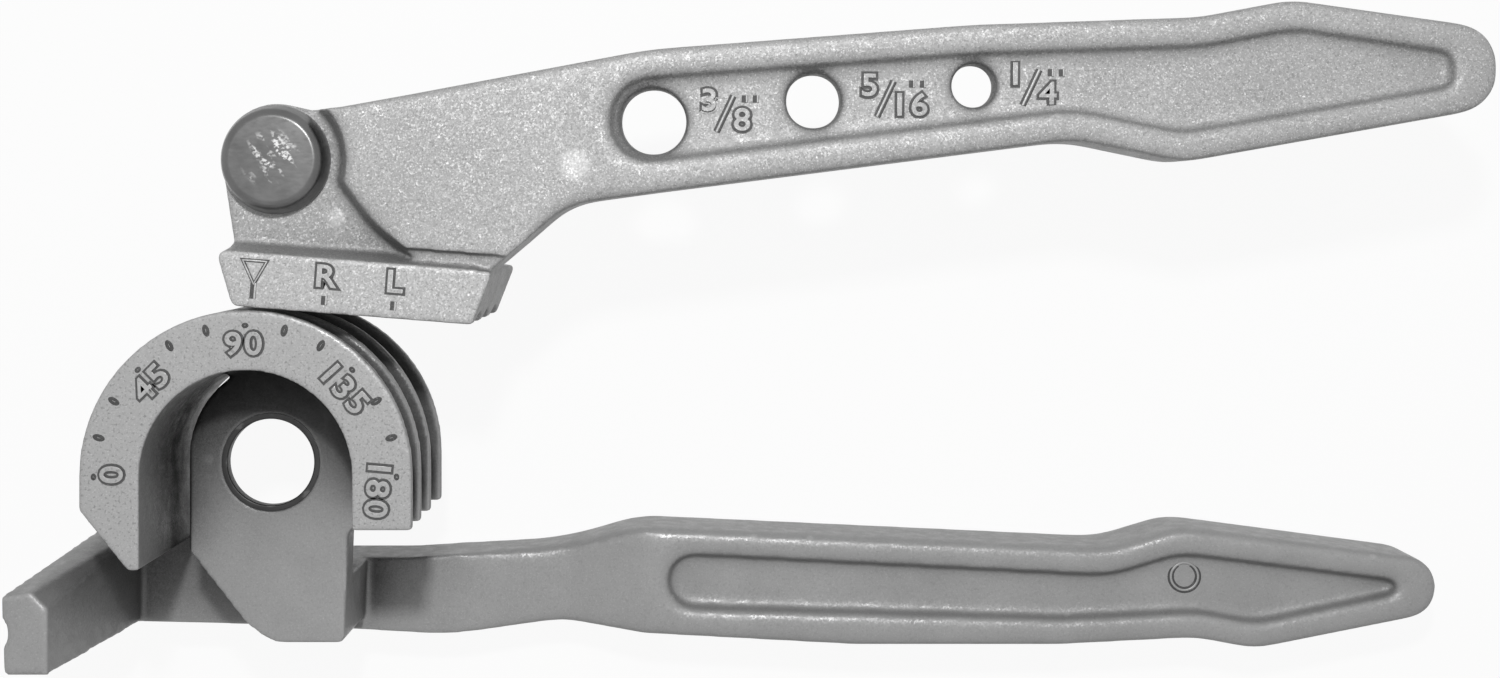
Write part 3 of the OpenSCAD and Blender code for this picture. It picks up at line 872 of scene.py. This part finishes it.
def degree_ticks(radius: float, height: float, style: MarkStyle, material: bpy.types.Material,
                 count: int = 13, dot_every: int = 3, dot_share: float = 0.45) -> bpy.types.Mesh:
    """Raised ticks of the degree scale, one every 15 degrees round the arch.

    Args:
        radius: radius of the ticks' middle, in metres.
        height: height of the face, in metres.
        style: raised ticks or the flat dark line round them that paints their shadow.
        material: finish of the ticks.
        count: number of ticks from 0 to 180 degrees.
        dot_every: steps from one dot over a figure to the next.
        dot_share: length of a dot against the other ticks.

    Returns:
        The ticks' mesh.
    """
    tree = NodeTree("degree_ticks")
    radius_id = tree.size("Radius")
    height_id = tree.size("Height")
    length_id = tree.size("Length")
    width_id = tree.size("Width")
    rise_id = tree.size("Rise")
    line = tree.node("GeometryNodeMeshLine")
    line.inputs["Count"].default_value = count
    index = tree.node("GeometryNodeInputIndex").outputs[0]
    angle = tree.math("SUBTRACT", math.pi, tree.math("MULTIPLY", index, math.pi / (count - 1)))
    spot = tree.node("ShaderNodeCombineXYZ")
    for function, axis in (("COSINE", "X"), ("SINE", "Y")):
        reach = tree.math("MULTIPLY", tree.entry.outputs["Radius"], tree.math(function, angle))
        tree.link(reach, spot.inputs[axis])
    tree.link(tree.entry.outputs["Height"], spot.inputs["Z"])
    placed = tree.node("GeometryNodeSetPosition")
    tree.link(line.outputs["Mesh"], placed.inputs["Geometry"])
    tree.link(spot.outputs[0], placed.inputs["Position"])
    bead = tree.node("GeometryNodeMeshUVSphere")
    bead.inputs["Segments"].default_value = 14
    bead.inputs["Rings"].default_value = 10
    bead.inputs["Radius"].default_value = 0.5
    turn = tree.node("ShaderNodeCombineXYZ")
    tree.link(angle, turn.inputs["Z"])
    between = tree.math("MINIMUM", tree.math("MODULO", index, dot_every), 1.0)
    longer = tree.math("MULTIPLY", between, 1.0 - dot_share)
    share = tree.math("ADD", dot_share, longer)
    size = tree.node("ShaderNodeCombineXYZ")
    tree.link(tree.math("MULTIPLY", tree.entry.outputs["Length"], share), size.inputs["X"])
    tree.link(tree.entry.outputs["Width"], size.inputs["Y"])
    tree.link(tree.entry.outputs["Rise"], size.inputs["Z"])
    ticks = tree.node("GeometryNodeInstanceOnPoints")
    tree.link(placed.outputs["Geometry"], ticks.inputs["Points"])
    tree.link(bead.outputs["Mesh"], ticks.inputs["Instance"])
    tree.link(turn.outputs[0], ticks.inputs["Rotation"])
    tree.link(size.outputs[0], ticks.inputs["Scale"])
    tree.close(ticks.outputs["Instances"], material)
    length = (style.tick_length_mm + style.bead_more_mm) * MM
    width = (style.tick_mm + style.bead_more_mm) * MM
    return tree.mesh({radius_id: radius, height_id: height, length_id: length, width_id: width,
                      rise_id: width * style.bead_flat})


# Sub-assemblies

@dataclass
class Casting:
    """One casting, softened from its CAD solid as sand and tumbling leave it."""

    node: str
    body: Body
    slot: Slot
    material: bpy.types.Material
    marks_material: bpy.types.Material
    shadow_line_material: bpy.types.Material
    voxel_mm: float = 0.36
    edge_passes: int = 4
    grip_passes: int = 80
    grip_from_mm: float = 26.0
    grip_over_mm: float = -100.0
    along_fade_mm: float = 14.0
    over_fade_mm: float = 4.0
    most_faces: int = 170000

    def soften(self) -> bpy.types.Mesh:
        """Rounds every edge of the casting, and the grip's edges more.

        Returns:
            The softened mesh.
        """
        shell = linked_object(merged_copy(self.node), "shell")
        skin = shell.modifiers.new("skin", "REMESH")
        skin.mode = "VOXEL"
        skin.voxel_size = self.voxel_mm * MM
        soft = linked_object(evaluated_mesh(shell), "soft")
        grip = soft.vertex_groups.new(name="grip")
        for vertex in soft.data.vertices:
            along = held((vertex.co.x / MM - self.grip_from_mm) / self.along_fade_mm)
            share = along * held((vertex.co.y / MM - self.grip_over_mm) / self.over_fade_mm)
            if share > 0:
                grip.add([vertex.index], share, "REPLACE")
        edges = soft.modifiers.new("edges", "SMOOTH")
        edges.iterations = self.edge_passes
        rims = soft.modifiers.new("rims", "SMOOTH")
        rims.iterations = self.grip_passes
        rims.vertex_group = grip.name
        thin = soft.modifiers.new("thin", "DECIMATE")
        thin.ratio = min(1.0, self.most_faces / (2 * len(soft.data.polygons)))
        return evaluated_mesh(soft)

    def marks(self, style: MarkStyle) -> list[bpy.types.Mesh]:
        """Marks of this casting, raised or as the flat dark line round them that paints their shadow."""
        return []

    def build(self) -> bpy.types.Object:
        """Builds the casting with its marks in place of the CAD solid.

        Returns:
            The casting.
        """
        piece = finish_piece(self.soften(), self.node + "_casting", self.material, self.body)
        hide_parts(self.node)
        for style, kind, material in ((RAISED, "_marks", self.marks_material),
                                      (SHADOW_OUTLINE, "_shadow_lines", self.shadow_line_material)):
            finish_piece(joined(self.marks(style)), self.node + kind, material, self.body)
        return piece


@dataclass
class MandrelHandle(Casting):
    """Lower handle: mandrel with its scale, web, bar, hook and grip."""

    front_z: float = 0.0
    scale_r_mm: float = 19.1
    tick_r_mm: float = 21.9
    figure_mm: float = 3.4
    figures_at: tuple[tuple[int, float], ...] = (
        (0, 179.0), (45, 135.0), (90, 90.7), (135, 42.0), (180, -5.0))
    grip_mm: float = 15.0
    ring_at_mm: tuple[float, float] = (143.4, -20.6)
    ring_r_mm: float = 2.2
    ring_bead_mm: float = 0.5

    def marks(self, style: MarkStyle) -> list[bpy.types.Mesh]:
        """Degree figures, ticks and the ejector's ring.

        Args:
            style: raised marks or the flat dark line round them that paints their shadow.

        Returns:
            The meshes of the marks.
        """
        made = [degree_ticks(self.tick_r_mm * MM, self.front_z, style, self.marks_material)]
        for degrees, at in self.figures_at:
            angle = math.radians(at)
            spot = Vector((math.cos(angle), math.sin(angle))) * self.scale_r_mm * MM
            place = on_face(spot.x, spot.y, self.front_z, at - 90)
            made.append(style.text(str(degrees), self.figure_mm, place))
        panel_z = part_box(self.node)[0].z + (self.grip_mm - PANEL_MM) * MM
        ring_x, ring_y = self.ring_at_mm
        made.append(style.ring(self.ring_r_mm, self.ring_bead_mm, on_face(ring_x * MM, ring_y * MM, panel_z)))
        return made


@dataclass
class ShoeHandle(Casting):
    """Upper handle: ear, shoe with its letters, arm with its gauge holes, grip.

    Marks are placed from the pivot, along the shoe and across it, in millimetres, and the parts of a
    fraction from its own middle. Those in the panel stand a little higher than its depth says,
    because softening swells its floor.
    """

    pivot: Vector = field(default_factory=Vector)
    tilt_deg: float = 0.0
    shoe_z: float = 0.0
    panel_z: float = 0.0
    panel_swell_mm: float = 0.14
    panel_turn_deg: float = 4.0
    letter_mm: float = 3.3
    letters_at: tuple[tuple[str, float], ...] = (("R", 9.4), ("L", 19.4))
    letter_row_mm: float = -16.4
    dash_row_mm: tuple[float, float] = (-20.4, -19.1)
    dash_right_mm: float = 0.1
    pointer_mm: tuple[tuple[float, float], ...] = ((-2.7, -14.8), (0.8, -14.8), (-0.85, -18.2))
    stem_row_mm: tuple[float, float] = (-20.3, -18.0)
    pointer_bead_mm: float = 0.5
    stroke_bead_mm: float = 0.44
    sizes_at: tuple[tuple[str, str, float, float], ...] = (
        ("3", "8", 65.5, 12.0), ("5", "16", 88.6, 16.0), ("1", "4", 109.6, 19.3))
    upper_at_mm: tuple[float, float] = (-2.8, 1.6)
    lower_at_mm: tuple[float, float] = (2.0, -1.2)
    figure_step_mm: float = 1.0
    stroke_at_mm: tuple[tuple[float, float], ...] = ((-1.7, -2.8), (0.7, 2.4))
    inch_at_mm: tuple[float, float] = (2.4, 4.0)
    inch_row_mm: tuple[float, float] = (1.5, 2.5)

    def at(self, x_mm: float, y_mm: float, z: float, turn_deg: float = 0.0) -> Matrix:
        """Place beside the pivot, along the shoe.

        Args:
            x_mm: place along the shoe.
            y_mm: place across the shoe.
            z: height of the face, in metres.
            turn_deg: turn against the shoe.

        Returns:
            The place in the frame.
        """
        along_shoe = on_face(self.pivot.x, self.pivot.y, z, -self.tilt_deg)
        return along_shoe @ on_face(x_mm * MM, y_mm * MM, 0.0, turn_deg)

    def marks(self, style: MarkStyle) -> list[bpy.types.Mesh]:
        """Pointer, letters, ticks and the names of the gauge holes.

        Args:
            style: raised marks or the flat dark line round them that paints their shadow.

        Returns:
            The meshes of the marks.
        """
        flat = self.at(0, 0, self.shoe_z)
        tip_x = self.pointer_mm[-1][0]
        made = [style.bead(list(self.pointer_mm), self.pointer_bead_mm, flat, closed=True),
                style.dash(tip_x, *self.stem_row_mm, flat)]
        for letter, x in self.letters_at:
            made.append(style.text(letter, self.letter_mm, self.at(x, self.letter_row_mm, self.shoe_z)))
            made.append(style.dash(x + self.dash_right_mm, *self.dash_row_mm, flat))
        for upper, lower, x, y in self.sizes_at:
            made.extend(self.fraction(style, upper, lower, x, y))
        return made

    def fraction(self, style: MarkStyle, upper: str, lower: str, x: float, y: float) -> list[bpy.types.Mesh]:
        """Size of one gauge hole, in inches.

        Args:
            style: raised figures or the flat dark line round them that paints their shadow.
            upper: figure over the stroke.
            lower: figure under the stroke.
            x: place along the shoe, in millimetres.
            y: place across the shoe, in millimetres.

        Returns:
            The meshes of the figures, the stroke and the inch marks.
        """
        wide = self.figure_step_mm * (len(lower) - 1)
        flat = self.at(x, y, self.panel_z + self.panel_swell_mm * MM, self.panel_turn_deg)
        upper_x, upper_y = self.upper_at_mm
        lower_x, lower_y = self.lower_at_mm
        made = [style.text(upper, self.letter_mm, flat @ on_face(upper_x * MM, upper_y * MM, 0)),
                style.text(lower, self.letter_mm, flat @ on_face((lower_x + wide) * MM, lower_y * MM, 0)),
                style.bead(list(self.stroke_at_mm), self.stroke_bead_mm, flat)]
        for shift in self.inch_at_mm:
            made.append(style.dash(shift + wide, *self.inch_row_mm, flat))
        return made


@dataclass
class Pivot:
    """Link with the bolt, washer and nut at its end."""

    axis: Vector
    bolt: bpy.types.Material
    plated: bpy.types.Material
    head_mm: float = 4.0
    crown_r_mm: float = 6.4
    shoulder_in_mm: float = 0.7
    shoulder_down_mm: float = 0.8
    skirt_down_mm: float = 3.2
    shank_r_mm: float = 5.0
    thread_r_mm: float = 4.0
    thread_depth_mm: float = 0.5
    thread_end_mm: float = 0.4
    pitch_mm: float = 1.25
    crown_round_mm: float = 0.35
    shoulder_round_mm: float = 0.4
    skirt_round_mm: float = 0.3
    seat_round_mm: float = 0.15
    shank_round_mm: float = 0.2
    bevel_mm: float = 0.3
    bevel_from_deg: float = 35.0
    sharp_from_deg: float = 30.0

    def build(self) -> None:
        """Builds the bolt, the washer, the nut and the link."""
        self.button_bolt()
        for node in ("pivot_washer", "pivot_nut", "link_arm"):
            self.bevelled(node)

    def button_bolt(self) -> None:
        """Builds the bolt with its rounded button head and its thread."""
        low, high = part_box("pivot_bolt")
        link_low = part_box("link_arm")[0].z
        head_r = (high.x - low.x) / 2
        top, seat = high.z, high.z - self.head_mm * MM
        shank, thread = self.shank_r_mm * MM, self.thread_r_mm * MM
        root, pitch = thread - self.thread_depth_mm * MM, self.pitch_mm * MM
        points = [(0.0, top, 0.0), (self.crown_r_mm * MM, top, self.crown_round_mm * MM),
                  (head_r - self.shoulder_in_mm * MM, top - self.shoulder_down_mm * MM,
                   self.shoulder_round_mm * MM),
                  (head_r, top - self.skirt_down_mm * MM, self.skirt_round_mm * MM),
                  (head_r, seat, self.seat_round_mm * MM), (shank, seat, 0.0),
                  (shank, link_low, self.shank_round_mm * MM), (thread, link_low, 0.0)]
        height = link_low
        while height - pitch > low.z + self.thread_end_mm * MM:
            points.append((root, height - pitch / 2, 0.0))
            height -= pitch
            points.append((thread, height, 0.0))
        points.extend([(root, low.z, 0.0), (0.0, low.z, 0.0)])
        mesh = turned(rounded_profile(points), self.axis, "pivot_bolt_steel")
        piece = finish_piece(mesh, "pivot_bolt_steel", self.bolt, Body.LINK)
        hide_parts("pivot_bolt")

    def bevelled(self, node: str) -> None:
        """Builds a plated piece from its CAD solid with small bevels on its edges.

        Args:
            node: name of the CAD node.
        """
        obj = linked_object(merged_copy(node), node)
        bevel = obj.modifiers.new("bevel", "BEVEL")
        bevel.width = self.bevel_mm * MM
        bevel.segments = 2
        bevel.limit_method = "ANGLE"
        bevel.angle_limit = math.radians(self.bevel_from_deg)
        piece = finish_piece(evaluated_mesh(obj), node + "_plated", self.plated, Body.LINK)
        piece.data.set_sharp_from_angle(angle=math.radians(self.sharp_from_deg))
        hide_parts(node)


@dataclass
class Trunnion:
    """Hollow rivet in the web's centre hole, in near-black steel that also paints the hole's shade."""

    material: bpy.types.Material
    bore_r_mm: float = 6.6
    nose_r_mm: float = 7.2
    neck_r_mm: float = 8.3
    lip_mm: float = 0.3
    straight_mm: float = 2.0
    nose_mm: float = 1.6
    eye_down_mm: float = 5.7
    back_wall_mm: float = 1.3
    edge_round_mm: float = 0.3
    step_round_mm: float = 0.1
    sharp_from_deg: float = 40.0

    def build(self) -> None:
        """Builds the rivet with its rolled front lip."""
        low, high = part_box("centre_trunnion")
        body_r = (high.x - low.x) / 2
        bore, nose, neck = self.bore_r_mm * MM, self.nose_r_mm * MM, self.neck_r_mm * MM
        lip, inside = self.lip_mm * MM, high.z - self.straight_mm * MM
        shoulder, eye_front = high.z - self.nose_mm * MM, high.z - self.eye_down_mm * MM
        edge, step = self.edge_round_mm * MM, self.step_round_mm * MM
        points = [(bore, inside, 0.0), (bore, high.z, edge), (nose + lip, high.z, step),
                  (nose, high.z - lip, 0.0), (nose, shoulder, 0.0), (neck, shoulder, step),
                  (neck, eye_front, 0.0), (body_r, eye_front, 0.0), (body_r, low.z, edge),
                  (body_r - self.back_wall_mm * MM, low.z, edge), (bore, inside, 0.0)]
        mesh = turned(rounded_profile(points), Vector((0, 0, 0)), "centre_trunnion_steel")
        piece = finish_piece(mesh, "centre_trunnion_steel", self.material, Body.LINK)
        piece.data.set_sharp_from_angle(angle=math.radians(self.sharp_from_deg))
        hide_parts("centre_trunnion")


# Studio

@dataclass(frozen=True)
class Lamp:
    """One square lamp: its place and side in metres, and its power."""

    name: str
    spot: tuple[float, float, float]
    size: float
    watts: float
    aim: tuple[float, float, float] = (0.07, 0.02, 0.0)

    def build(self) -> None:
        """Adds the lamp and turns it to the middle of the tool."""
        data = bpy.data.lights.new(self.name, "AREA")
        data.size = self.size
        data.energy = self.watts
        lamp = linked_object(data, self.name)
        lamp.location = self.spot
        lamp.rotation_mode = "QUATERNION"
        lamp.rotation_quaternion = (Vector(self.aim) - Vector(self.spot)).to_track_quat("-Z", "Y")


@dataclass(frozen=True)
class Studio:
    """White floor, white surround and two lamps."""

    floor_z: float
    floor_half: float = 3.0
    floor_grey: float = 0.9
    floor_white: float = 0.93
    world_light: float = 0.22
    lamps: tuple[Lamp, ...] = (Lamp("key", (0.055, 0.19, 0.37), 0.03, 0.92),
                               Lamp("fill", (0.05, 0.2, 0.8), 0.5, 0.25))

    def build(self) -> None:
        """Builds the floor, the world and the lamps."""
        self.floor()
        self.world()
        for lamp in self.lamps:
            lamp.build()

    def seen(self, nodes: bpy.types.Nodes, links: bpy.types.NodeLinks) -> bpy.types.NodeSocket:
        """Value that is 1 for camera, glossy and transmission rays.

        Args:
            nodes: nodes of the tree.
            links: links of the same tree.

        Returns:
            The value.
        """
        path = nodes.new("ShaderNodeLightPath")
        first = nodes.new("ShaderNodeMath")
        first.operation = "MAXIMUM"
        links.new(path.outputs["Is Camera Ray"], first.inputs[0])
        links.new(path.outputs["Is Glossy Ray"], first.inputs[1])
        second = nodes.new("ShaderNodeMath")
        second.operation = "MAXIMUM"
        links.new(first.outputs[0], second.inputs[0])
        links.new(path.outputs["Is Transmission Ray"], second.inputs[1])
        return second.outputs[0]

    def world(self) -> None:
        """White surround for what is seen, plain grey light for the rest."""
        world = bpy.data.worlds.new("studio")
        bpy.context.scene.world = world
        world.use_nodes = True
        nodes, links = world.node_tree.nodes, world.node_tree.links
        nodes.clear()
        light, white = nodes.new("ShaderNodeBackground"), nodes.new("ShaderNodeBackground")
        light.inputs["Strength"].default_value = self.world_light
        light.inputs["Color"].default_value = (1, 1, 1, 1)
        white.inputs["Color"].default_value = (1, 1, 1, 1)
        mix = nodes.new("ShaderNodeMixShader")
        out = nodes.new("ShaderNodeOutputWorld")
        links.new(self.seen(nodes, links), mix.inputs[0])
        links.new(light.outputs[0], mix.inputs[1])
        links.new(white.outputs[0], mix.inputs[2])
        links.new(mix.outputs[0], out.inputs["Surface"])

    def floor(self) -> None:
        """Large white floor that keeps a little of the tool's shadow."""
        mesh = bpy.data.meshes.new("floor")
        corners = [(x * self.floor_half, y * self.floor_half, self.floor_z)
                   for x, y in ((-1, -1), (1, -1), (1, 1), (-1, 1))]
        mesh.from_pydata(corners, [], [(0, 1, 2, 3)])
        floor = linked_object(mesh, "floor")
        material = bpy.data.materials.new("floor_white")
        material.use_nodes = True
        nodes, links = material.node_tree.nodes, material.node_tree.links
        nodes.clear()
        paint = nodes.new("ShaderNodeBsdfDiffuse")
        paint.inputs["Color"].default_value = (self.floor_grey, self.floor_grey, self.floor_grey, 1)
        glow = nodes.new("ShaderNodeEmission")
        share = nodes.new("ShaderNodeMath")
        share.operation = "MULTIPLY"
        share.inputs[1].default_value = self.floor_white
        mix = nodes.new("ShaderNodeMixShader")
        out = nodes.new("ShaderNodeOutputMaterial")
        links.new(self.seen(nodes, links), share.inputs[0])
        links.new(share.outputs[0], mix.inputs[0])
        links.new(paint.outputs[0], mix.inputs[1])
        links.new(glow.outputs[0], mix.inputs[2])
        links.new(mix.outputs[0], out.inputs["Surface"])
        mesh.materials.append(material)


def main() -> None:
    """Builds the camera, the studio and every sub-assembly."""
    logging.basicConfig(level=logging.INFO)
    bpy.context.scene.view_settings.view_transform = "Standard"
    shoe_joint = next(joint for joint in frame["joints"] if joint["name"] == "shoe_swing")
    pivot = Vector(shoe_joint["pos_m"])
    mandrel_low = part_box("mandrel_handle")[0]
    shoe_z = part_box("shoe_handle")[1].z
    front_z = shoe_z - SHOE_PROUD_MM * MM
    PhotoView().build(front_z)
    Studio(mandrel_low.z).build()
    finishes = Finishes(front_z, shoe_z, pivot)
    MandrelHandle("mandrel_handle", Body.MANDREL, Slot.CAST_MANDREL, finishes.cast_mandrel,
                  finishes.mandrel_marks, finishes.mark_shadow_line, front_z=front_z).build()
    ShoeHandle("shoe_handle", Body.SHOE, Slot.CAST_SHOE, finishes.cast_shoe,
               finishes.shoe_marks, finishes.mark_shadow_line, grip_from_mm=10.0, grip_over_mm=34.0, pivot=pivot,
               tilt_deg=math.degrees(math.atan2(pivot.x, pivot.y)), shoe_z=shoe_z,
               panel_z=front_z - PANEL_MM * MM).build()
    Pivot(pivot, finishes.bolt_steel, finishes.link_steel).build()
    Trunnion(finishes.dark_steel).build()


if __name__ == "__main__":
    main()
